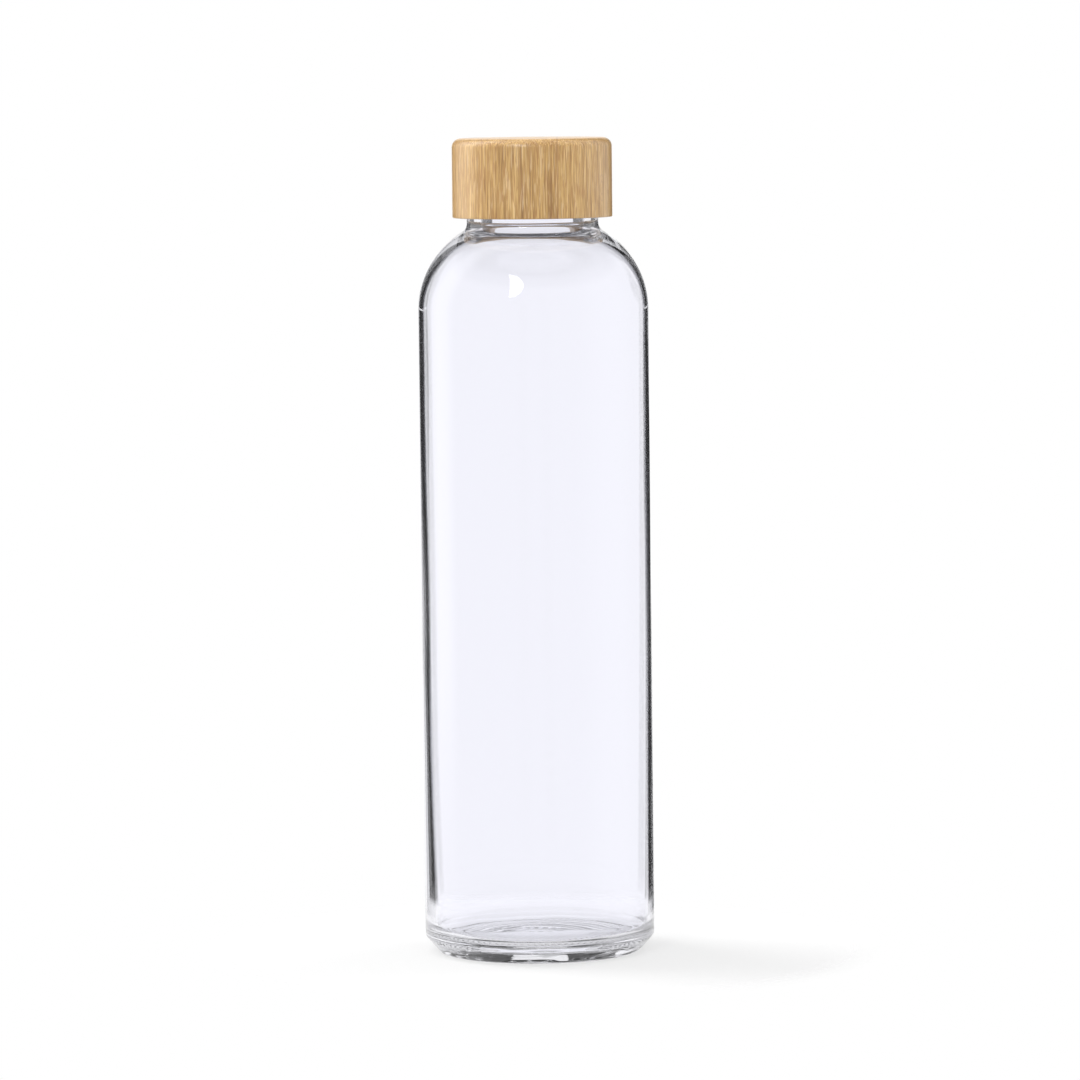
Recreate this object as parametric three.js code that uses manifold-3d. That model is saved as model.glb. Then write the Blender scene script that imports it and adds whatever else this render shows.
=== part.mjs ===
// A glass water bottle with a bamboo screw cap.
//
// The bottle is one piece of blown glass: a knurled standing ring round a pushed-up base, a conical heel,
// a straight body, a round shoulder and a threaded neck. The cap is a turned bamboo shell with a
// polypropylene insert fixed in it. The insert carries the thread and holds a flat silicone ring, which
// seals on the bottle's lip.
//
// Millimetres, +Z up. The origin is the centre of the standing ring, on the surface the bottle stands on.
import * as THREE from "three";
import { mergeVertices } from "three/addons/utils/BufferGeometryUtils.js";
import Module from "manifold-3d";

const wasm = await Module();
wasm.setup();

// ---- Driving dimensions ------------------------------------------------------------------------------

const SEGMENTS = 48; // facets round every turned piece
const CURVE_STEPS = 4; // points on each curved stretch of a profile (an arc gets twice as many)
const GAP = 0.3; // room between pieces that touch or are pressed together
const TURN = 2 * Math.PI;

const body = {
  radius: 32.5,
  wallAtShoulder: 1.4,
  wallAtHeel: 2.5,
};

const base = {
  pushUp: 2.4, // height of the underside's centre above the table
  pushUpFlat: 13, // how far out the underside stays nearly level
  pushUpRadius: 21.8,
  pushUpEdge: 0.5, // height of the underside at that radius, where it rolls over onto the ring
  ringInner: 22.8, // the flat standing ring
  ringOuter: 27.3,
  ringRound: 0.6,
  heelFoot: 28.4, // radius at which the heel's cone would meet the table
  heelTop: 4.6, // height at which it would meet the straight body
  heelFootRound: 0.4,
  heelTopRound: 0.7,
  floorCentre: 5.8, // the inside floor: a low dome
  floorEdge: 4.6,
  floorRadius: 23.5,
  floorCorner: 9.5, // height at which the floor's round corner meets the wall
};

const shoulder = {
  radius: 26,
  innerRadius: 23, // less than concentric, so the wall thickens towards the neck
  start: 181.5, // height at which the straight body ends
  neckFillet: 2.5,
  innerNeckFillet: 5,
};

const neck = {
  radius: 18.55, // the plain collar that shows below the cap
  collarTop: 208.5,
  collarRound: 0.6,
  threadRoot: 17.4,
  bore: 14.8,
  lipTop: 221.8,
  lipRound: 0.9,
};

const thread = {
  pitch: 6, // one start, right-handed: the rise for one full turn
  crest: 1.1, // half-height of the rounded glass ridge, and how far it stands out
  start: 210.4, // height of the ridge's middle at its lower end
  turns: 1.5,
  flankOffset: 1.95, // the insert's ridge lies this far under the glass ridge
  insertCrest: 1.0,
  insertStartTurn: 0.31, // angle of the insert ridge's lower end, in turns
  insertTurns: 1.25,
  runOut: 0.09, // share of a turn over which a ridge fades at each end
  sink: 1.2, // how deep a ridge's end has sunk into its wall
  stepsPerTurn: 40,
};

const cap = {
  radius: 22.5,
  bottom: 207.7,
  top: 230,
  topRound: 2.5,
  bottomRound: 0.5,
  bore: 20.45,
  ceiling: 225.5,
  boreChamfer: 0.5,
};

const insert = {
  bottom: 208.9,
  skirtBore: 18.85,
  skirtOuter: 19.9,
  plate: 1.2, // thickness of its closed top
  ribCount: 16,
  ribHeight: 0.25,
  ribWidth: 1.2,
  ribBottom: 210.5,
  ribTop: 223,
  wiperInner: 13.0, // the ring that centres the seal
  wiperOuter: 13.8,
  wiperDepth: 1.1,
  beadBottom: 221.0, // the snap bead that keeps the seal in
  beadTop: 221.9,
  beadStandOut: 0.7,
};

const seal = {
  inner: 14.1,
  outer: 18.35,
  thickness: 1.6,
  chamfer: 0.25,
};

// ---- Worked out from them ----------------------------------------------------------------------------

const sealBottom = neck.lipTop + GAP;
const sealTop = sealBottom + seal.thickness;
const insertCeiling = sealTop + GAP;
const insertTop = insertCeiling + insert.plate;

// ---- Helpers -----------------------------------------------------------------------------------------

/** A turned solid. The path holds (radius, height) and is drawn with the solid on its left. */
function turned(path) {
  return new THREE.LatheGeometry(path.getPoints(CURVE_STEPS), SEGMENTS).rotateX(Math.PI / 2);
}

/** The closed solid of a geometry, for joining and cutting. */
function solidOf(geometry) {
  const bare = geometry.clone();
  bare.deleteAttribute("normal");
  bare.deleteAttribute("uv");
  const merged = mergeVertices(bare, 1e-4);
  return new wasm.Manifold(
    new wasm.Mesh({
      numProp: 3,
      vertProperties: merged.attributes.position.array,
      triVerts: new Uint32Array(merged.index.array),
    }),
  );
}

/** The geometry of a joined or cut solid. */
function geometryOf(solid) {
  const { vertProperties, triVerts } = solid.getMesh();
  const geometry = new THREE.BufferGeometry();
  geometry.setAttribute("position", new THREE.BufferAttribute(vertProperties, 3));
  geometry.setIndex(new THREE.BufferAttribute(triVerts, 1));
  geometry.computeVertexNormals();
  return geometry;
}

/** A right-handed helix about +Z whose two ends move sideways by `sink`, so that a ridge fades out. */
class ThreadLine extends THREE.Curve {
  constructor({ radius, start, startTurn, turns, sink }) {
    super();
    Object.assign(this, { radius, start, startTurn, turns, sink });
  }

  getPoint(t, target = new THREE.Vector3()) {
    const angle = (this.startTurn + this.turns * t) * TURN;
    const fromEnd = (Math.min(t, 1 - t) * this.turns) / thread.runOut;
    const radius = this.radius + this.sink * (1 - THREE.MathUtils.smoothstep(fromEnd, 0, 1));
    const height = this.start + thread.pitch * this.turns * t;
    return target.set(radius * Math.cos(angle), radius * Math.sin(angle), height);
  }
}

/** A round ridge along a thread line. */
function ridge(line, halfHeight) {
  const section = new THREE.Shape().absarc(0, 0, halfHeight, 0, TURN);
  return new THREE.ExtrudeGeometry(section, {
    extrudePath: line,
    steps: Math.round(line.turns * thread.stepsPerTurn),
    curveSegments: 4,
    bevelEnabled: false,
  });
}

// ---- Materials ---------------------------------------------------------------------------------------

const glass = new THREE.MeshStandardMaterial({
  color: 0xeef1fa,
  roughness: 0.03,
  metalness: 0,
  transparent: true,
  opacity: 0.35,
});
const bamboo = new THREE.MeshStandardMaterial({ color: 0xc9a26e, roughness: 0.45, metalness: 0 });
const polypropylene = new THREE.MeshStandardMaterial({ color: 0xf2f1ee, roughness: 0.4, metalness: 0 });
const silicone = new THREE.MeshStandardMaterial({ color: 0xe6e8ea, roughness: 0.6, metalness: 0 });

// ---- Sub-parts ---------------------------------------------------------------------------------------

/** The bottle's outside, from the centre of the underside out and up to the lip. */
function drawOutside(path) {
  const { pushUp, pushUpFlat, pushUpRadius, pushUpEdge, ringInner, ringOuter, ringRound } = base;
  path.moveTo(0, pushUp);
  path.quadraticCurveTo(pushUpFlat, pushUp, pushUpRadius, pushUpEdge);
  path.quadraticCurveTo(ringInner - ringRound, 0, ringInner, 0);
  path.lineTo(ringOuter, 0);

  const { heelFoot, heelTop, heelFootRound, heelTopRound } = base;
  const slope = heelTop / (body.radius - heelFoot);
  path.quadraticCurveTo(heelFoot, 0, heelFoot + heelFootRound, heelFootRound * slope);
  path.lineTo(body.radius - heelTopRound, heelTop - heelTopRound * slope);
  path.quadraticCurveTo(body.radius, heelTop, body.radius, heelTop + heelTopRound);

  // The shoulder is an arc tangent to the body, and the neck fillet is an arc tangent to both.
  const centreR = body.radius - shoulder.radius;
  const filletR = neck.radius + shoulder.neckFillet;
  const reach = shoulder.radius + shoulder.neckFillet;
  const rise = Math.sqrt(reach ** 2 - (filletR - centreR) ** 2);
  const tangent = Math.atan2(rise, filletR - centreR);
  path.absarc(centreR, shoulder.start, shoulder.radius, 0, tangent, false);
  path.absarc(filletR, shoulder.start + rise, shoulder.neckFillet, tangent + Math.PI, Math.PI, true);

  // The collar, the step in to the thread's root, and the lip.
  path.lineTo(neck.radius, neck.collarTop - neck.collarRound);
  path.quadraticCurveTo(neck.radius, neck.collarTop, neck.radius - neck.collarRound, neck.collarTop);
  path.lineTo(neck.threadRoot, neck.collarTop);
  path.lineTo(neck.threadRoot, neck.lipTop - neck.lipRound);
  path.quadraticCurveTo(neck.threadRoot, neck.lipTop, neck.threadRoot - neck.lipRound, neck.lipTop);
}

/** The bottle's inside, from the lip down to the middle of the floor. */
function drawInside(path) {
  path.lineTo(neck.bore + neck.lipRound, neck.lipTop);
  path.quadraticCurveTo(neck.bore, neck.lipTop, neck.bore, neck.lipTop - neck.lipRound);

  const centreR = body.radius - body.wallAtShoulder - shoulder.innerRadius;
  const filletR = neck.bore + shoulder.innerNeckFillet;
  const reach = shoulder.innerRadius + shoulder.innerNeckFillet;
  const rise = Math.sqrt(reach ** 2 - (filletR - centreR) ** 2);
  const tangent = Math.atan2(rise, filletR - centreR);
  path.absarc(filletR, shoulder.start + rise, shoulder.innerNeckFillet, Math.PI, tangent + Math.PI, false);
  path.absarc(centreR, shoulder.start, shoulder.innerRadius, tangent, 0, true);

  const heelRadius = body.radius - body.wallAtHeel;
  const { floorCorner, floorRadius, floorEdge, floorCentre } = base;
  path.lineTo(heelRadius, floorCorner);
  path.quadraticCurveTo(heelRadius, floorEdge, floorRadius, floorEdge);
  path.quadraticCurveTo(floorRadius * 0.5, floorCentre, 0, floorCentre);
}

function glassBottle() {
  const path = new THREE.Path();
  drawOutside(path);
  drawInside(path);
  const line = new ThreadLine({
    radius: neck.threadRoot,
    start: thread.start,
    startTurn: 0,
    turns: thread.turns,
    sink: -thread.sink,
  });
  return geometryOf(solidOf(turned(path)).add(solidOf(ridge(line, thread.crest))));
}

function bambooCap() {
  const { radius, bottom, top, topRound, bottomRound, bore, ceiling, boreChamfer } = cap;
  const path = new THREE.Path();
  path.moveTo(0, ceiling);
  path.lineTo(bore - boreChamfer, ceiling);
  path.lineTo(bore, ceiling - boreChamfer);
  path.lineTo(bore, bottom + boreChamfer);
  path.lineTo(bore + boreChamfer, bottom);
  path.lineTo(radius - bottomRound, bottom);
  path.quadraticCurveTo(radius, bottom, radius, bottom + bottomRound);
  path.lineTo(radius, top - topRound);
  path.absarc(radius - topRound, top - topRound, topRound, 0, Math.PI / 2, false);
  path.lineTo(0, top);
  return turned(path);
}

/** The insert without its thread and ribs. */
function insertCup() {
  const { bottom, skirtBore, skirtOuter, wiperInner, wiperOuter, wiperDepth } = insert;
  const { beadBottom, beadTop, beadStandOut } = insert;
  const edge = 0.4;
  const path = new THREE.Path();
  path.moveTo(0, insertCeiling);
  path.lineTo(wiperInner, insertCeiling);
  path.lineTo(wiperInner, insertCeiling - wiperDepth);
  path.lineTo(wiperOuter, insertCeiling - wiperDepth);
  path.lineTo(wiperOuter, insertCeiling);
  path.lineTo(skirtBore, insertCeiling);
  path.lineTo(skirtBore, beadTop);
  path.lineTo(skirtBore - beadStandOut, (beadTop + beadBottom) / 2);
  path.lineTo(skirtBore, beadBottom);
  path.lineTo(skirtBore, bottom + edge);
  path.lineTo(skirtBore + edge, bottom);
  path.lineTo(skirtOuter, bottom);
  path.lineTo(skirtOuter, insertTop - edge);
  path.lineTo(skirtOuter - edge, insertTop);
  path.lineTo(0, insertTop);
  return turned(path);
}

/** One straight rib on the insert's outside, which keys it in the bamboo. */
function insertRib() {
  const { skirtOuter, ribHeight, ribWidth, ribBottom, ribTop } = insert;
  const rootDepth = 0.5; // how far the rib reaches into the skirt
  const depth = ribHeight + rootDepth;
  const rib = new THREE.BoxGeometry(depth, ribWidth, ribTop - ribBottom);
  return rib.translate(skirtOuter - rootDepth + depth / 2, 0, (ribTop + ribBottom) / 2);
}

function threadedInsert() {
  const line = new ThreadLine({
    radius: insert.skirtBore,
    start: thread.start - thread.flankOffset + thread.pitch * thread.insertStartTurn,
    startTurn: thread.insertStartTurn,
    turns: thread.insertTurns,
    sink: thread.sink,
  });
  // The ridge is cut back to the middle of the skirt's wall, so that it shows only on the inside.
  const middle = (insert.skirtBore + insert.skirtOuter) / 2;
  const height = insertCeiling - insert.bottom;
  const within = new THREE.CylinderGeometry(middle, middle, height, SEGMENTS)
    .rotateX(Math.PI / 2)
    .translate(0, 0, insert.bottom + height / 2);
  const inner = solidOf(ridge(line, thread.insertCrest)).intersect(solidOf(within));

  let solid = solidOf(insertCup()).add(inner);
  for (let i = 0; i < insert.ribCount; i += 1) {
    solid = solid.add(solidOf(insertRib().rotateZ((i / insert.ribCount) * TURN)));
  }
  return geometryOf(solid);
}

function sealRing() {
  const { inner, outer, chamfer } = seal;
  const path = new THREE.Path();
  path.moveTo(inner, sealBottom + chamfer);
  path.lineTo(inner + chamfer, sealBottom);
  path.lineTo(outer - chamfer, sealBottom);
  path.lineTo(outer, sealBottom + chamfer);
  path.lineTo(outer, sealTop - chamfer);
  path.lineTo(outer - chamfer, sealTop);
  path.lineTo(inner + chamfer, sealTop);
  path.lineTo(inner, sealTop - chamfer);
  path.lineTo(inner, sealBottom + chamfer);
  return turned(path);
}

// ---- Assembly ----------------------------------------------------------------------------------------

function piece(name, geometry, material) {
  const mesh = new THREE.Mesh(geometry, material);
  mesh.name = name;
  return mesh;
}

const bottle = new THREE.Group();
bottle.add(piece("glass_bottle", glassBottle(), glass));

const screwCap = new THREE.Group();
screwCap.add(piece("bamboo_cap", bambooCap(), bamboo));
screwCap.add(piece("threaded_insert", threadedInsert(), polypropylene));
screwCap.add(piece("seal_ring", sealRing(), silicone));

const waterBottle = new THREE.Group();
waterBottle.add(bottle, screwCap);

export default waterBottle;
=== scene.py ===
"""A glass water bottle with a bamboo screw cap, in a bright white studio.

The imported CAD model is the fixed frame: it gives every place and every body. Each CAD node is replaced here
by a smooth piece of the same size, with the detail that the faceted solid leaves out. Metres, +Z up.
"""

import math

import bpy
import numpy as np
from mathutils import Euler, Matrix, Vector, noise


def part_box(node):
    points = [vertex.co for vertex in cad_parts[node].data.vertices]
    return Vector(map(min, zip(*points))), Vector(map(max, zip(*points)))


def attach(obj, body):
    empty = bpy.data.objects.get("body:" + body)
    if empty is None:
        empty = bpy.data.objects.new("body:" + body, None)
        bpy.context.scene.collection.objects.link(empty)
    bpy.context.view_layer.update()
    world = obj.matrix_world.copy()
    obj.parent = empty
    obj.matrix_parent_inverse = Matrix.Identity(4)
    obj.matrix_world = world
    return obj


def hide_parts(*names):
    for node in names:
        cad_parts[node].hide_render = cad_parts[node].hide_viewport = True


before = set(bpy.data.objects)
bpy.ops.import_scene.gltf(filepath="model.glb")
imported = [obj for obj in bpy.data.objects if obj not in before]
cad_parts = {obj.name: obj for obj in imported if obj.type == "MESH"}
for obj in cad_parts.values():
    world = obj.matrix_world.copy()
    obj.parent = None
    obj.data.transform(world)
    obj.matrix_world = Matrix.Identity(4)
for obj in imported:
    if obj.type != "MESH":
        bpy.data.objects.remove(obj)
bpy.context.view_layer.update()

MM = 0.001
TURN = 2 * math.pi

# ---- Places taken from the frame ----------------------------------------------------------------------

bottle_low, bottle_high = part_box("glass_bottle")
cap_low, cap_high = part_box("bamboo_cap")
insert_low, insert_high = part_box("threaded_insert")
seal_low, seal_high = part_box("seal_ring")

BODY_R = bottle_high.x
LIP_Z = bottle_high.z
CAP_R = cap_high.x

# ---- Driving dimensions -------------------------------------------------------------------------------

AROUND = 336  # points round a turned piece
GLASS_BOUNCES = 32

# The bottle's wall is a little thicker on one side and towards the base, as blown glass is.
WALL_TOP = 1.2 * MM
WALL_HEEL = 2.3 * MM
WALL_BEND = Vector((31.05 * MM, 40.0 * MM))  # where the inside wall turns inwards, towards the heel
OFFSET_TOP = 0.2 * MM
OFFSET_HEEL = 0.5 * MM
WALL_WAVE = 0.05 * MM
FLOOR_WAVE = 0.12 * MM

# The underside: a dome with raised dots, and the knurled ring that the bottle stands on.
PUSH_UP = 2.4 * MM
PUSH_UP_R = 21.8 * MM
RING_IN = 22.8 * MM
RING_OUT = 27.3 * MM
KNURLS = 84
KNURL_DEPTH = 0.42 * MM
KNURL_LEAN = 0.45  # how far a crescent's ends lag behind its middle, in knurls
DOT_HEIGHT = 0.35 * MM
DOT_R = 0.55 * MM
HEEL_FOOT_R = 28.4 * MM
HEEL_TOP = 4.6 * MM
FLOOR_CENTRE = 5.8 * MM
FLOOR_EDGE = 4.6 * MM
FLOOR_R = 23.5 * MM
FLOOR_CORNER = 9.5 * MM
HEEL_ROUND = 0.7 * MM
FOOT_ROUND = 0.4 * MM

# The shoulder and the neck. The inside of the shoulder is a smaller arc, so its wall thickens upwards.
SHOULDER_R = 26.0 * MM
SHOULDER_IN_R = 23.0 * MM
SHOULDER_Z = 181.5 * MM
NECK_FILLET = 2.5 * MM
INNER_FILLET = 5.0 * MM
COLLAR_R = 18.55 * MM
COLLAR_Z = 208.5 * MM
ROOT_R = 17.4 * MM
BORE_R = 14.8 * MM
LIP_ROUND = 0.9 * MM

# The screw thread: one start, right-handed.
PITCH = 6.0 * MM
THREAD_Z = 210.4 * MM
THREAD_TURNS = 1.5
GLASS_CREST = 1.1 * MM
INSERT_CREST = 1.0 * MM
FLANK_OFFSET = 1.95 * MM
INSERT_START = 0.31
INSERT_TURNS = 1.25

# The cap.
CAP_BORE = 20.45 * MM
CAP_CEILING = 225.5 * MM
CAP_ROUND = 2.5 * MM
SKIRT_BORE = 18.85 * MM
SKIRT_R = 19.9 * MM
RIBS = 16
RIB_HEIGHT = 0.25 * MM
RIBS_LOW = 210.2 * MM
RIBS_HIGH = 223.2 * MM
RIB_FADE = 0.6 * MM
BEAD_LOW = 221.0 * MM  # the snap bead that holds the seal up
BEAD_HIGH = 221.9 * MM
BEAD_DEPTH = 1.1 * MM


# ---- Meshes -------------------------------------------------------------------------------------------


def smoothstep(x, low, high):
    """0 below low, 1 above high, and a smooth rise between them."""
    t = np.clip((x - low) / (high - low), 0.0, 1.0)
    return t * t * (3 - 2 * t)


class Outline:
    """The half-section of a turned piece, as (radius, height) points, drawn stretch by stretch."""

    def __init__(self, radius, height):
        self.points = [(radius, height)]

    def line(self, radius, height, steps=1):
        r0, z0 = self.points[-1]
        for i in range(1, steps + 1):
            t = i / steps
            self.points.append((r0 + (radius - r0) * t, z0 + (height - z0) * t))
        return self

    def curve(self, via, end, steps=8):
        """A quadratic curve from the last point to end, drawn towards via on the way."""
        start, via, end = Vector(self.points[-1]), Vector(via), Vector(end)
        for i in range(1, steps + 1):
            t = i / steps
            self.points.append(tuple(start * (1 - t) ** 2 + via * 2 * t * (1 - t) + end * t * t))
        return self

    def arc(self, centre, radius, start, end, steps=12):
        """An arc round centre, between two angles measured from the outward direction."""
        for i in range(steps + 1):
            a = start + (end - start) * i / steps
            point = (centre[0] + radius * math.cos(a), centre[1] + radius * math.sin(a))
            if (Vector(point) - Vector(self.points[-1])).length > 1e-7:
                self.points.append(point)
        return self


def rings_of(points, count=AROUND, shape=None):
    """One ring of points for each (radius, height). shape(radii, heights, angles) may move them."""
    angles = np.arange(count) * TURN / count
    rings = []
    for radius, height in points:
        if radius < 1e-9:
            rings.append(np.array([[0.0, 0.0, height]]))
            continue
        radii, heights = np.full(count, radius), np.full(count, height)
        if shape is not None:
            radii, heights = shape(radii, heights, angles)
        rings.append(np.column_stack((radii * np.cos(angles), radii * np.sin(angles), heights)))
    return rings


def band(first, second, n, m):
    """The faces between two rings of n and m points: equal, one twice the other, or a single point."""
    if n == 1:
        return [(first, second + (k + 1) % m, second + k) for k in range(m)]
    if m == 1:
        return [(first + k, first + (k + 1) % n, second) for k in range(n)]
    faces = []
    if n == m:
        for k in range(n):
            j = (k + 1) % n
            faces.append((first + k, first + j, second + j, second + k))
    elif n == 2 * m:
        for k in range(m):
            j, fine = (k + 1) % m, first + 2 * k
            faces.append((fine, fine + 1, second + k))
            faces.append((fine + 1, first + (2 * k + 2) % n, second + j, second + k))
    else:
        for k in range(n):
            j, fine = (k + 1) % n, second + 2 * k
            faces.append((first + k, fine + 1, fine))
            faces.append((first + k, first + j, second + (2 * k + 2) % m, fine + 1))
    return faces


def skin(name, rings, closed=False):
    """An object whose mesh covers the rings in their order. A closed one joins the last to the first."""
    starts = np.cumsum([0] + [len(r) for r in rings])
    faces = []
    for i in range(len(rings) - 1 + closed):
        j = (i + 1) % len(rings)
        faces += band(int(starts[i]), int(starts[j]), len(rings[i]), len(rings[j]))
    mesh = bpy.data.meshes.new(name)
    mesh.from_pydata(np.vstack(rings).tolist(), [], faces)
    mesh.validate()
    mesh.shade_smooth()
    obj = bpy.data.objects.new(name, mesh)
    bpy.context.scene.collection.objects.link(obj)
    return obj


def ridge(heights, angles, start, first_turn, turns, half_width):
    """How far a rounded screw ridge stands up, from 0 to 1, at points of a ring."""
    out = np.zeros_like(angles)
    for lap in range(math.ceil(first_turn + turns) + 1):
        turn = angles / TURN + lap
        away = np.abs(heights - (start + PITCH * turn)) / half_width
        crest = np.where(away < 1, 0.5 + 0.5 * np.cos(np.pi * np.minimum(away, 1)), 0) ** 0.8
        ends = smoothstep(turn, first_turn, first_turn + 0.09)
        ends = ends * (1 - smoothstep(turn, first_turn + turns - 0.09, first_turn + turns))
        out = np.maximum(out, crest * ends)
    return out


def wave(points, size, seed):
    """Smooth random numbers from about -1 to 1 at the points, changing over about `size` metres."""
    offset = Vector((seed * 17.3, seed * 5.1, seed * 9.7))
    return np.array([noise.noise(Vector(p) / size + offset) * 2 for p in points])


# ---- Materials ----------------------------------------------------------------------------------------


class Tree:
    """Adds nodes to a node tree and links their inputs."""

    def __init__(self, owner):
        owner.use_nodes = True
        self.tree = owner.node_tree
        self.tree.nodes.clear()

    def add(self, kind, inputs=None, **settings):
        node = self.tree.nodes.new(kind)
        for key, value in settings.items():
            setattr(node, key, value)
        for key, value in (inputs or {}).items():
            self.feed(node.inputs[key], value)
        return node

    def feed(self, socket, value):
        if isinstance(value, bpy.types.NodeSocket):
            self.tree.links.new(value, socket)
        else:
            socket.default_value = value

    def math(self, operation, a, b=0.0, c=0.0, clamp=False):
        node = self.add("ShaderNodeMath", {0: a, 1: b, 2: c}, operation=operation, use_clamp=clamp)
        return node.outputs[0]

    def vector(self, operation, a, b=(0, 0, 0)):
        node = self.add("ShaderNodeVectorMath", {0: a}, operation=operation)
        self.feed(node.inputs["Scale" if operation == "SCALE" else 1], b)
        return node.outputs[0]

    def between(self, value, low, high, start=0.0, end=1.0):
        """value taken smoothly from low..high to start..end."""
        node = self.add("ShaderNodeMapRange", interpolation_type="SMOOTHSTEP")
        for key, number in zip((0, 1, 2, 3, 4), (value, low, high, start, end)):
            self.feed(node.inputs[key], number)
        return node.outputs[0]

    def mix(self, factor, a, b, blend="MIX"):
        node = self.add("ShaderNodeMix", {0: factor, 6: a, 7: b}, data_type="RGBA", blend_type=blend)
        return node.outputs[2]

    def noise(self, place, scale=1.0, detail=2.0, roughness=0.5):
        inputs = {"Vector": place, "Scale": scale, "Detail": detail, "Roughness": roughness}
        return self.add("ShaderNodeTexNoise", inputs).outputs["Fac"]

    def ramp(self, factor, stops):
        node = self.add("ShaderNodeValToRGB", {0: factor})
        elements = node.color_ramp.elements
        while len(elements) < len(stops):
            elements.new(1.0)
        for element, (position, colour) in zip(elements, stops):
            element.position, element.color = position, (*colour, 1.0)
        return node.outputs[0]


def millimetres(tree):
    """The piece's own coordinates in millimetres."""
    place = tree.add("ShaderNodeTexCoord").outputs["Object"]
    return tree.vector("SCALE", place, 1 / MM)


def surface(tree, shader):
    tree.add("ShaderNodeOutputMaterial", {"Surface": shader.outputs[0]})


def glass_material():
    """Clear soda glass with the faint waviness of a blown wall."""
    material = bpy.data.materials.new("clear_glass")
    tree = Tree(material)
    place = millimetres(tree)
    ripple = tree.noise(tree.vector("MULTIPLY", place, (1, 1, 0.35)), scale=0.09, detail=1.5)
    bump = tree.add("ShaderNodeBump", {"Height": ripple, "Distance": 0.02 * MM, "Strength": 1.0})
    shader = tree.add(
        "ShaderNodeBsdfPrincipled",
        {
            "Base Color": (0.955, 0.956, 0.998, 1),
            "Roughness": 0.0,
            "IOR": 1.52,
            "Transmission Weight": 1.0,
            "Normal": bump.outputs[0],
        },
    )
    surface(tree, shader)
    return material


def bamboo_material():
    """Laminated bamboo with upright fibres, under a satin lacquer."""
    material = bpy.data.materials.new("bamboo")
    tree = Tree(material)
    place = millimetres(tree)
    axes = tree.add("ShaderNodeSeparateXYZ", {0: place}).outputs

    # The block is glued up from upright strips, each with its own tone and its own fibres.
    strip_width, strip_depth, seam_x = 21.0, 19.0, 7.1
    across = tree.math("MULTIPLY_ADD", axes[0], 1 / strip_width, -seam_x / strip_width)
    along = tree.math("MULTIPLY_ADD", axes[1], 1 / strip_depth, 0.41)
    cell = tree.add("ShaderNodeCombineXYZ", {0: tree.math("FLOOR", across), 1: tree.math("FLOOR", along)})
    random = tree.add("ShaderNodeTexWhiteNoise", {"Vector": cell.outputs[0]})
    shift = tree.vector("SCALE", random.outputs["Color"], 60.0)

    # A knot: the fibres part round it, in pointed ovals.
    angle = math.radians(60)
    knot = (22.5 * math.sin(angle), -22.5 * math.cos(angle), 216.0)
    from_knot = tree.vector("MULTIPLY", tree.vector("SUBTRACT", place, knot), (1 / 1.5, 1 / 1.5, 1 / 3.6))
    knot_distance = tree.add("ShaderNodeVectorMath", {0: from_knot}, operation="LENGTH").outputs["Value"]
    parted = tree.between(knot_distance, 0.4, 1.8, 0.35, 0.0)
    fibre_place = tree.vector("ADD", place, shift)
    fibre_place = tree.vector("ADD", fibre_place, tree.vector("SCALE", from_knot, parted))

    def fibres(width, length, detail, roughness=0.55, offset=(0, 0, 0)):
        squeezed = tree.vector("MULTIPLY", fibre_place, (1 / width, 1 / width, 1 / length))
        return tree.noise(tree.vector("ADD", squeezed, offset), detail=detail, roughness=roughness)

    broad = fibres(2.4, 60.0, 2.0)
    medium = fibres(0.42, 14.0, 4.0, 0.6)
    fine = fibres(0.24, 8.0, 2.0, 0.6, (9, 4, 7))
    dashes = tree.between(fibres(0.3, 5.0, 1.0, 0.5, (31, 17, 5)), 0.55, 0.62)
    pale = tree.between(fibres(0.34, 7.0, 1.0, 0.5, (3, 44, 28)), 0.56, 0.64)

    tone = tree.math("MULTIPLY_ADD", medium, 0.62, tree.math("MULTIPLY", broad, 0.2))
    tone = tree.math("MULTIPLY_ADD", fine, 0.18, tone)
    tone = tree.math("MULTIPLY_ADD", tree.math("SUBTRACT", random.outputs["Value"], 0.5), 0.03, tone)
    colour = tree.ramp(
        tone,
        [
            (0.37, (0.24, 0.11, 0.018)),
            (0.46, (0.42, 0.23, 0.058)),
            (0.54, (0.55, 0.33, 0.1)),
            (0.63, (0.7, 0.46, 0.18)),
        ],
    )
    colour = tree.mix(tree.math("MULTIPLY", pale, 0.4), colour, (0.76, 0.56, 0.33, 1))
    colour = tree.mix(tree.math("MULTIPLY", dashes, 0.6), colour, (0.35, 0.155, 0.035, 1))
    rings = tree.between(tree.math("PINGPONG", knot_distance, 0.25), 0.02, 0.12, 1.0, 0.0)
    rings = tree.math("MULTIPLY", rings, tree.between(knot_distance, 0.95, 1.2, 0.4, 0.0))
    colour = tree.mix(rings, colour, (0.36, 0.19, 0.09, 1))

    # A hair of darker glue between strips.
    edge = tree.math("ABSOLUTE", tree.math("SUBTRACT", tree.math("FRACT", across), 0.5))
    glue = tree.between(edge, 0.5 - 0.3 / strip_width, 0.5 - 0.1 / strip_width)
    colour = tree.mix(tree.math("MULTIPLY", glue, 0.55), colour, (0.31, 0.14, 0.04, 1))

    relief = tree.math("MULTIPLY_ADD", medium, 0.7, tree.math("MULTIPLY", fine, 0.3))
    bump = tree.add("ShaderNodeBump", {"Height": relief, "Distance": 0.05 * MM, "Strength": 0.5})
    shader = tree.add(
        "ShaderNodeBsdfPrincipled",
        {
            "Base Color": colour,
            "Roughness": tree.between(medium, 0.3, 0.7, 0.5, 0.4),
            "Normal": bump.outputs[0],
            "Coat Weight": 0.9,
            "Coat Roughness": 0.3,
        },
    )
    surface(tree, shader)
    return material


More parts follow.
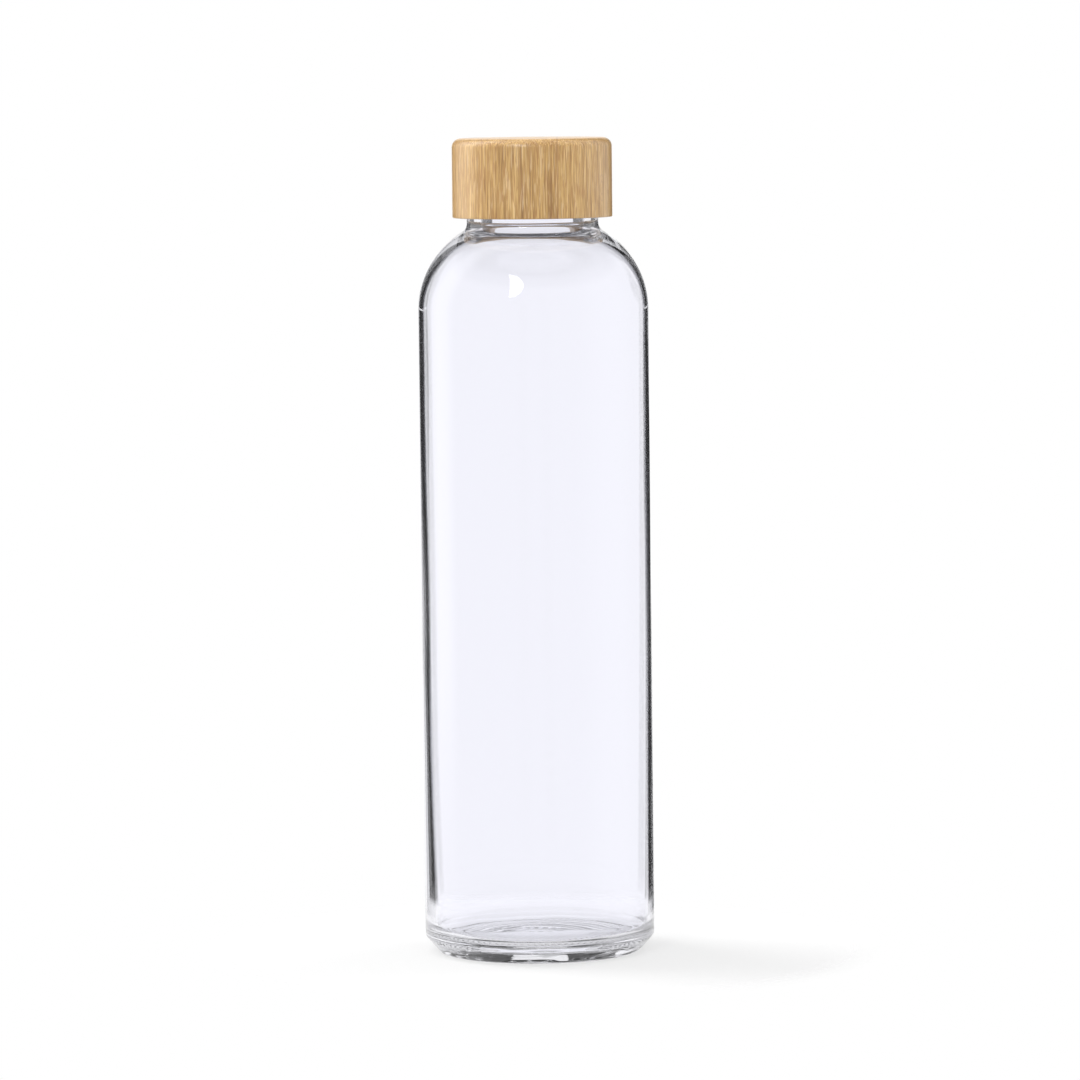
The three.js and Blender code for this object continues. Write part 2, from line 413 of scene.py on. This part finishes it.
def polypropylene_material():
    """Natural polypropylene: milky, satin, a little light coming through."""
    material = bpy.data.materials.new("polypropylene")
    tree = Tree(material)
    place = millimetres(tree)
    cloud = tree.noise(place, scale=0.25, detail=3.0)
    grain = tree.noise(place, scale=6.0, detail=2.0)
    bump = tree.add("ShaderNodeBump", {"Height": grain, "Distance": 0.01 * MM, "Strength": 0.3})
    shader = tree.add(
        "ShaderNodeBsdfPrincipled",
        {
            "Base Color": tree.mix(cloud, (0.83, 0.82, 0.79, 1), (0.9, 0.9, 0.88, 1)),
            "Roughness": tree.between(cloud, 0.3, 0.7, 0.3, 0.42),
            "Normal": bump.outputs[0],
            "Subsurface Weight": 0.25,
            "Subsurface Radius": (1.0, 1.0, 1.0),
            "Subsurface Scale": 1.2 * MM,
        },
    )
    surface(tree, shader)
    return material


def silicone_material():
    """Food-grade silicone: cloudy white, soft sheen."""
    material = bpy.data.materials.new("silicone")
    tree = Tree(material)
    place = millimetres(tree)
    cloud = tree.noise(place, scale=0.4, detail=2.0)
    dust = tree.noise(place, scale=9.0, detail=2.0)
    bump = tree.add("ShaderNodeBump", {"Height": dust, "Distance": 0.01 * MM, "Strength": 0.4})
    shader = tree.add(
        "ShaderNodeBsdfPrincipled",
        {
            "Base Color": tree.mix(cloud, (0.78, 0.8, 0.82, 1), (0.86, 0.87, 0.88, 1)),
            "Roughness": tree.between(dust, 0.3, 0.7, 0.42, 0.58),
            "Normal": bump.outputs[0],
            "Subsurface Weight": 0.4,
            "Subsurface Radius": (1.0, 1.0, 1.0),
            "Subsurface Scale": 0.8 * MM,
        },
    )
    surface(tree, shader)
    return material


# ---- The bottle ---------------------------------------------------------------------------------------


def raised_dots():
    """Where the underside's dots are: two short rows, as (x, y)."""
    pitch = 2.4 * MM
    rows = [(5, 2.6 * MM), (3, -2.6 * MM)]
    return [((i - (count - 1) / 2) * pitch, y) for count, y in rows for i in range(count)]


DOTS = raised_dots()


def shape_underside(radii, heights, angles):
    """Raised dots on the dome, standing down from it."""
    x, y = radii * np.cos(angles), radii * np.sin(angles)
    lift = np.zeros_like(heights)
    for dot_x, dot_y in DOTS:
        away = np.hypot(x - dot_x, y - dot_y)
        lift = np.maximum(lift, 1 - smoothstep(away, 0.45 * DOT_R, 1.5 * DOT_R))
    return radii, heights - DOT_HEIGHT * lift


def shape_ring(radii, heights, angles):
    """Crescent knurls: the crests touch the table and the grooves between them are raised."""
    middle, half = (RING_IN + RING_OUT) / 2, (RING_OUT - RING_IN) / 2
    across = (radii - middle) / half
    phase = angles * KNURLS / TURN - KNURL_LEAN * across**2
    groove = (0.5 - 0.5 * np.cos(TURN * phase)) ** 0.75
    window = 1 - smoothstep(np.abs(across), 0.82, 1.0)
    return radii, heights + KNURL_DEPTH * groove * window


def shape_thread(radii, heights, angles):
    stand = ridge(heights, angles, THREAD_Z, 0.0, THREAD_TURNS, 1.5 * MM)
    return radii + GLASS_CREST * stand, heights


def shape_wall(radii, heights, angles):
    """The inside wall: off centre by a hair, and slightly wavy up and round."""
    x, y = radii * np.cos(angles), radii * np.sin(angles)
    uneven = wave(np.column_stack((x, y, heights * 0.4)), 24 * MM, 1)
    offset = OFFSET_TOP + (OFFSET_HEEL - OFFSET_TOP) * (1 - smoothstep(heights, 8 * MM, 80 * MM))
    share = smoothstep(radii, 14.0 * MM, 28.0 * MM)
    return radii + (offset * np.cos(angles) + WALL_WAVE * uneven) * share, heights


def shape_floor(radii, heights, angles):
    """The inside floor: low swirls left by the last of the glass."""
    x, y = radii * np.cos(angles), radii * np.sin(angles)
    uneven = wave(np.column_stack((x, y, np.zeros_like(x))), 9 * MM, 2)
    radii, _ = shape_wall(radii, heights, angles)
    share = 1 - smoothstep(np.hypot(x, y), 24 * MM, 29 * MM)
    return radii, heights + FLOOR_WAVE * uneven * share


def shoulder_arcs(body_r, arc_r, fillet, neck_r):
    """The shoulder's centre radius, the fillet's centre and the angle at which the two arcs meet."""
    centre_r = body_r - arc_r
    fillet_r = neck_r + fillet
    reach = arc_r + fillet
    rise = math.sqrt(reach**2 - (fillet_r - centre_r) ** 2)
    return centre_r, (fillet_r, SHOULDER_Z + rise), math.atan2(rise, fillet_r - centre_r)


def bottle_rings():
    """The bottle's rings, from the middle of the underside out, up, over the lip and down inside."""
    dome = Outline(0.0, PUSH_UP)
    dome.curve((13 * MM, PUSH_UP), (PUSH_UP_R, 0.5 * MM), 74)
    dome.curve((RING_IN - 0.6 * MM, 0.0), (RING_IN, 0.0), 6)
    rings = rings_of(dome.points, AROUND, shape_underside)

    ring = Outline(RING_IN, 0.0).line(RING_OUT, 0.0, 20)
    rings += rings_of(ring.points[1:], KNURLS * 8, shape_ring)

    slope = HEEL_TOP / (BODY_R - HEEL_FOOT_R)
    outside = Outline(RING_OUT, 0.0)
    outside.curve((HEEL_FOOT_R, 0.0), (HEEL_FOOT_R + FOOT_ROUND, FOOT_ROUND * slope), 8)
    outside.line(BODY_R - HEEL_ROUND, HEEL_TOP - HEEL_ROUND * slope, 8)
    outside.curve((BODY_R, HEEL_TOP), (BODY_R, HEEL_TOP + HEEL_ROUND), 10)
    outside.line(BODY_R, SHOULDER_Z, 40)
    centre_r, fillet, meet = shoulder_arcs(BODY_R, SHOULDER_R, NECK_FILLET, COLLAR_R)
    outside.arc((centre_r, SHOULDER_Z), SHOULDER_R, 0.0, meet, 40)
    outside.arc(fillet, NECK_FILLET, meet + math.pi, math.pi, 14)
    outside.line(COLLAR_R, COLLAR_Z - 0.6 * MM, 4)
    outside.curve((COLLAR_R, COLLAR_Z), (COLLAR_R - 0.6 * MM, COLLAR_Z), 6)
    outside.line(ROOT_R + 0.3 * MM, COLLAR_Z, 1)
    outside.curve((ROOT_R, COLLAR_Z), (ROOT_R, COLLAR_Z + 0.3 * MM), 4)
    rings += rings_of(outside.points[1:])

    finish = Outline(ROOT_R, COLLAR_Z + 0.3 * MM).line(ROOT_R, LIP_Z - LIP_ROUND, 60)
    rings += rings_of(finish.points[1:], AROUND, shape_thread)

    inside = Outline(ROOT_R, LIP_Z - LIP_ROUND)
    inside.curve((ROOT_R, LIP_Z), (ROOT_R - LIP_ROUND, LIP_Z), 8)
    inside.line(BORE_R + LIP_ROUND, LIP_Z, 2)
    inside.curve((BORE_R, LIP_Z), (BORE_R, LIP_Z - LIP_ROUND), 8)
    centre_r, fillet, meet = shoulder_arcs(BODY_R - WALL_TOP, SHOULDER_IN_R, INNER_FILLET, BORE_R)
    inside.line(BORE_R, fillet[1], 10)
    inside.arc(fillet, INNER_FILLET, math.pi, meet + math.pi, 18)
    inside.arc((centre_r, SHOULDER_Z), SHOULDER_IN_R, meet, 0.0, 36)
    inside.curve(WALL_BEND, (BODY_R - WALL_HEEL, FLOOR_CORNER), 80)
    rings += rings_of(inside.points[1:], AROUND, shape_wall)

    floor = Outline(BODY_R - WALL_HEEL, FLOOR_CORNER)
    floor.curve((BODY_R - WALL_HEEL, FLOOR_EDGE), (FLOOR_R, FLOOR_EDGE), 26)
    floor.curve((FLOOR_R * 0.5, FLOOR_CENTRE), (0.0, FLOOR_CENTRE), 40)
    rings += rings_of(floor.points[1:], AROUND, shape_floor)
    return rings


def make_bottle():
    bottle = skin("bottle_glass", bottle_rings())
    bottle.data.materials.append(glass_material())
    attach(bottle, "bottle")
    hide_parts("glass_bottle")


# ---- The cap ------------------------------------------------------------------------------------------


def make_bamboo_cap():
    soft = 0.35 * MM
    outline = Outline(0.0, CAP_CEILING)
    outline.line(CAP_BORE - 0.5 * MM, CAP_CEILING, 10)
    outline.curve((CAP_BORE, CAP_CEILING), (CAP_BORE, CAP_CEILING - 0.5 * MM), 5)
    outline.line(CAP_BORE, cap_low.z + 0.5 * MM, 12)
    outline.curve((CAP_BORE, cap_low.z), (CAP_BORE + 0.5 * MM, cap_low.z), 5)
    outline.line(CAP_R - soft, cap_low.z, 2)
    outline.curve((CAP_R, cap_low.z), (CAP_R, cap_low.z + soft), 6)
    outline.line(CAP_R, cap_high.z - CAP_ROUND, 16)
    outline.arc((CAP_R - CAP_ROUND, cap_high.z - CAP_ROUND), CAP_ROUND, 0.0, math.pi / 2, 16)
    outline.line(0.0, cap_high.z, 12)
    cap = skin("bamboo_shell", rings_of(outline.points, 192))
    cap.data.materials.append(bamboo_material())
    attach(cap, "cap")
    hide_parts("bamboo_cap")


def shape_insert_inside(radii, heights, angles):
    start = THREAD_Z - FLANK_OFFSET
    stand = ridge(heights, angles, start, INSERT_START, INSERT_TURNS, 1.4 * MM)
    return radii - INSERT_CREST * stand, heights


def shape_insert_outside(radii, heights, angles):
    """Anti-rotation ribs with round crests, which fade out at both ends."""
    place = (angles * RIBS / TURN + 0.5) % 1 - 0.5
    away = np.abs(place) * TURN / RIBS * SKIRT_R / (0.6 * MM)
    crest = 1 - smoothstep(away, 0.6, 1.15)
    ends = smoothstep(heights, RIBS_LOW, RIBS_LOW + RIB_FADE)
    ends = ends * (1 - smoothstep(heights, RIBS_HIGH - RIB_FADE, RIBS_HIGH))
    return radii + RIB_HEIGHT * crest * ends, heights


def make_insert():
    ceiling = seal_high.z + 0.3 * MM
    wiper_in, wiper_out, wiper_z = 13.0 * MM, 13.8 * MM, ceiling - 1.1 * MM
    inner = Outline(0.0, ceiling)
    inner.line(wiper_in - 0.2 * MM, ceiling, 6)
    inner.curve((wiper_in, ceiling), (wiper_in, ceiling - 0.2 * MM), 4)
    inner.line(wiper_in, wiper_z + 0.3 * MM, 2)
    inner.curve((wiper_in, wiper_z), (0.5 * (wiper_in + wiper_out), wiper_z), 4)
    inner.curve((wiper_out, wiper_z), (wiper_out, wiper_z + 0.3 * MM), 4)
    inner.line(wiper_out, ceiling - 0.2 * MM, 2)
    inner.curve((wiper_out, ceiling), (wiper_out + 0.2 * MM, ceiling), 4)
    inner.line(SKIRT_BORE, ceiling, 4)
    inner.line(SKIRT_BORE, BEAD_HIGH, 4)
    inner.curve((SKIRT_BORE - BEAD_DEPTH, (BEAD_LOW + BEAD_HIGH) / 2), (SKIRT_BORE, BEAD_LOW), 8)
    rings = rings_of(inner.points)

    thread = Outline(SKIRT_BORE, BEAD_LOW).line(SKIRT_BORE, insert_low.z + 0.4 * MM, 60)
    rings += rings_of(thread.points[1:], AROUND, shape_insert_inside)

    outer = Outline(SKIRT_BORE, insert_low.z + 0.4 * MM)
    outer.line(SKIRT_BORE + 0.4 * MM, insert_low.z, 3)
    outer.line(SKIRT_R - 0.1 * MM, insert_low.z, 2)
    outer.curve((SKIRT_R, insert_low.z), (SKIRT_R, insert_low.z + 0.1 * MM), 3)
    outer.line(SKIRT_R, insert_high.z - 0.4 * MM, 30)
    outer.line(SKIRT_R - 0.4 * MM, insert_high.z, 3)
    outer.line(0.0, insert_high.z, 6)
    rings += rings_of(outer.points[1:], AROUND, shape_insert_outside)

    insert = skin("insert_cup", rings)
    insert.data.materials.append(polypropylene_material())
    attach(insert, "cap")
    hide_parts("threaded_insert")


def make_seal():
    inner, outer = 14.1 * MM, seal_high.x
    low, high = seal_low.z, seal_high.z
    soft = 0.35 * MM
    outline = Outline(inner, low + soft)
    outline.curve((inner, low), (inner + soft, low), 5)
    outline.line(outer - soft, low, 6)
    outline.curve((outer, low), (outer, low + soft), 5)
    outline.line(outer, high - soft, 2)
    outline.curve((outer, high), (outer - soft, high), 5)
    outline.line(inner + soft, high, 6)
    outline.curve((inner, high), (inner, high - soft), 5)
    seal = skin("silicone_seal", rings_of(outline.points, 192), closed=True)
    seal.data.materials.append(silicone_material())
    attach(seal, "seal")
    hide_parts("seal_ring")


# ---- The studio ---------------------------------------------------------------------------------------


def make_world():
    """Bright-field light. What stands behind the glass is white, and black cards stand to either side.

    The camera sees plain white. Light bent by the glass sees the cards, which draw the glass's edges.
    Reflections see the cards and soft side lights, and matt surfaces a white dome with a lamp to each side.
    """
    white, dark, soft = 0.98, 0.05, 0.5
    card_start, bent_card, mirrored_card, card_lean = 12.0, 21.0, 27.0, 12.0  # degrees of azimuth
    world = bpy.data.worlds.new("studio")
    bpy.context.scene.world = world
    tree = Tree(world)
    direction = tree.add("ShaderNodeTexCoord").outputs["Generated"]
    x, y, z = tree.add("ShaderNodeSeparateXYZ", {0: direction}).outputs
    azimuth = tree.math("DEGREES", tree.math("ARCTAN2", x, y))
    turned = tree.math("ABSOLUTE", azimuth)

    def card(away, inner, width):
        """1 on a card that starts at an angle away from a direction, with slightly soft sides."""
        into = tree.math("SUBTRACT", away, inner)
        start = tree.between(into, -soft, soft)
        return tree.math("MULTIPLY", start, tree.between(into, width - soft, width + soft, 1.0, 0.0))

    # The cards behind the bottle. The left one leans: it stands further out low down. A thin pale slit
    # crosses both, and they end below the height at which a view from above would see them.
    low_down, left = tree.between(z, -0.05, -0.16, 0.0, card_lean), tree.between(azimuth, 2.0, -2.0)
    inner = tree.math("ADD", tree.math("MULTIPLY", low_down, left), card_start)
    from_slit = tree.math("ABSOLUTE", tree.math("ADD", z, 0.028))
    slit = tree.between(from_slit, 0.003, 0.006, 0.0, 1 - dark / white)
    height = tree.between(z, -0.3, -0.24)
    edges = tree.math("MULTIPLY", tree.math("MULTIPLY", card(turned, inner, bent_card), slit), height)

    # The ceiling is dark, and so is the floor of the room, which the thick base bends light to.
    shade = tree.math("MAXIMUM", edges, tree.between(z, 0.5, 0.7, 0.0, 0.95))
    shade = tree.math("MAXIMUM", shade, tree.between(z, -0.85, -0.65, 0.9, 0.0))
    bent = tree.math("MULTIPLY_ADD", shade, -white, white)

    # A narrow lamp on the left, a weaker one on the right.
    def from_azimuth(degrees):
        return tree.math("ABSOLUTE", tree.math("SUBTRACT", azimuth, degrees))

    lamp_left = tree.between(from_azimuth(-75.0), 4.0, 22.0, 0.9, 0.0)
    lamp_left = tree.math("MULTIPLY", lamp_left, tree.between(z, -0.14, -0.09, 0.2, 1.0))
    lamp_right = tree.between(from_azimuth(100.0), 5.0, 45.0, 0.4, 0.0)
    mirrored = tree.math("ADD", white, tree.math("ADD", lamp_left, lamp_right))
    hidden = tree.math("MULTIPLY", card(turned, inner, mirrored_card), height)
    mirrored = tree.math("MULTIPLY", mirrored, tree.math("SUBTRACT", 1.0, hidden))

    # Matt and satin surfaces see a white dome with a large lamp to either side, above the bottle.
    side = tree.between(from_azimuth(-60.0), 8.0, 32.0, 7.0, 0.0)
    other = tree.between(from_azimuth(60.0), 8.0, 32.0, 2.0, 0.0)
    dome = tree.math("MULTIPLY_ADD", tree.math("ADD", side, other), tree.between(z, 0.12, 0.3), 0.88)

    path = tree.add("ShaderNodeLightPath").outputs
    strength = tree.add("ShaderNodeMix", {0: path["Is Glossy Ray"], 2: dome, 3: mirrored}).outputs[0]
    strength = tree.add(
        "ShaderNodeMix", {0: path["Is Transmission Ray"], 2: strength, 3: bent}
    ).outputs[0]
    strength = tree.add("ShaderNodeMix", {0: path["Is Camera Ray"], 2: strength, 3: 1.0}).outputs[0]
    background = tree.add("ShaderNodeBackground", {"Color": (1, 1, 1, 1), "Strength": strength})
    tree.add("ShaderNodeOutputWorld", {"Surface": background.outputs[0]})


def make_floor():
    """A pale table, lit softly from below, that fades into the white background."""
    mesh = bpy.data.meshes.new("floor")
    radius, count = 0.5, 96
    angles = [TURN * i / count for i in range(count)]
    rim = [(radius * math.cos(a), radius * math.sin(a), 0) for a in angles]
    mesh.from_pydata(rim, [], [list(range(count))])
    floor = bpy.data.objects.new("floor", mesh)
    bpy.context.scene.collection.objects.link(floor)
    material = bpy.data.materials.new("pale_floor")
    tree = Tree(material)
    place = tree.add("ShaderNodeTexCoord").outputs["Object"]
    away = tree.add("ShaderNodeVectorMath", {0: place}, operation="LENGTH").outputs["Value"]
    shader = tree.add(
        "ShaderNodeBsdfPrincipled",
        {
            "Base Color": (0.2, 0.2, 0.2, 1),
            "Roughness": 0.9,
            "Specular IOR Level": 0.0,
            "Emission Color": (1, 1, 1, 1),
            "Emission Strength": 0.66,
            "Alpha": tree.between(away, 0.082, 0.1, 1.0, 0.0),
        },
    )
    surface(tree, shader)
    mesh.materials.append(material)


def make_softbox():
    """A D-shaped softbox, high on the left, in front. Its reflection is the shoulder's highlight."""
    towards = Vector((-0.278, -0.794, 0.540)).normalized()
    right = Vector((0, 0, 1)).cross(towards).normalized()
    up = towards.cross(right)
    centre = Vector((0, 0, 0.19)) + towards * 1.3
    half_width, half_height, hollow, steps = 0.165, 0.33, 0.22, 16
    outline = []
    for i in range(steps + 1):
        a = math.pi * (i / steps - 0.5)
        outline.append((half_width * (2 * math.cos(a) - 1), half_height * math.sin(a)))
    for i in range(1, steps):
        share = 1 - 2 * i / steps
        outline.append((-half_width * (1 - hollow * (1 - share**2)), half_height * share))
    mesh = bpy.data.meshes.new("softbox")
    lean = -0.1
    points = [centre + right * (across + lean * along) + up * along for across, along in outline]
    mesh.from_pydata(points, [], [list(range(len(points)))])
    softbox = bpy.data.objects.new("softbox", mesh)
    bpy.context.scene.collection.objects.link(softbox)
    softbox.visible_camera = False
    softbox.visible_transmission = False
    material = bpy.data.materials.new("softbox_light")
    tree = Tree(material)
    surface(tree, tree.add("ShaderNodeEmission", {"Strength": 9.0}))
    mesh.materials.append(material)


def make_camera():
    """A long lens, a little above the cap and looking slightly down, held a hair off level."""
    data = bpy.data.cameras.new("camera")
    data.lens = 198.85
    data.sensor_width = 36.0
    data.clip_end = 20.0
    camera = bpy.data.objects.new("camera", data)
    camera.location = (1.18 * MM, -1.68, 253.5 * MM)
    pitch, roll = math.radians(4.66), math.radians(0.6)
    tilt = Euler((math.pi / 2 - pitch, 0, 0)).to_matrix() @ Matrix.Rotation(-roll, 3, "Z")
    camera.rotation_euler = tilt.to_euler()
    bpy.context.scene.collection.objects.link(camera)
    bpy.context.scene.camera = camera


def let_light_through_glass():
    """Light meets many faces inside the thick base and the neck, and goes dark if it is cut short."""
    cycles = bpy.context.scene.cycles
    cycles.max_bounces = cycles.glossy_bounces = cycles.transmission_bounces = GLASS_BOUNCES


make_camera()
make_world()
make_floor()
make_softbox()
bpy.context.scene.view_settings.view_transform = "Standard"
let_light_through_glass()

make_bottle()
make_bamboo_cap()
make_insert()
make_seal()
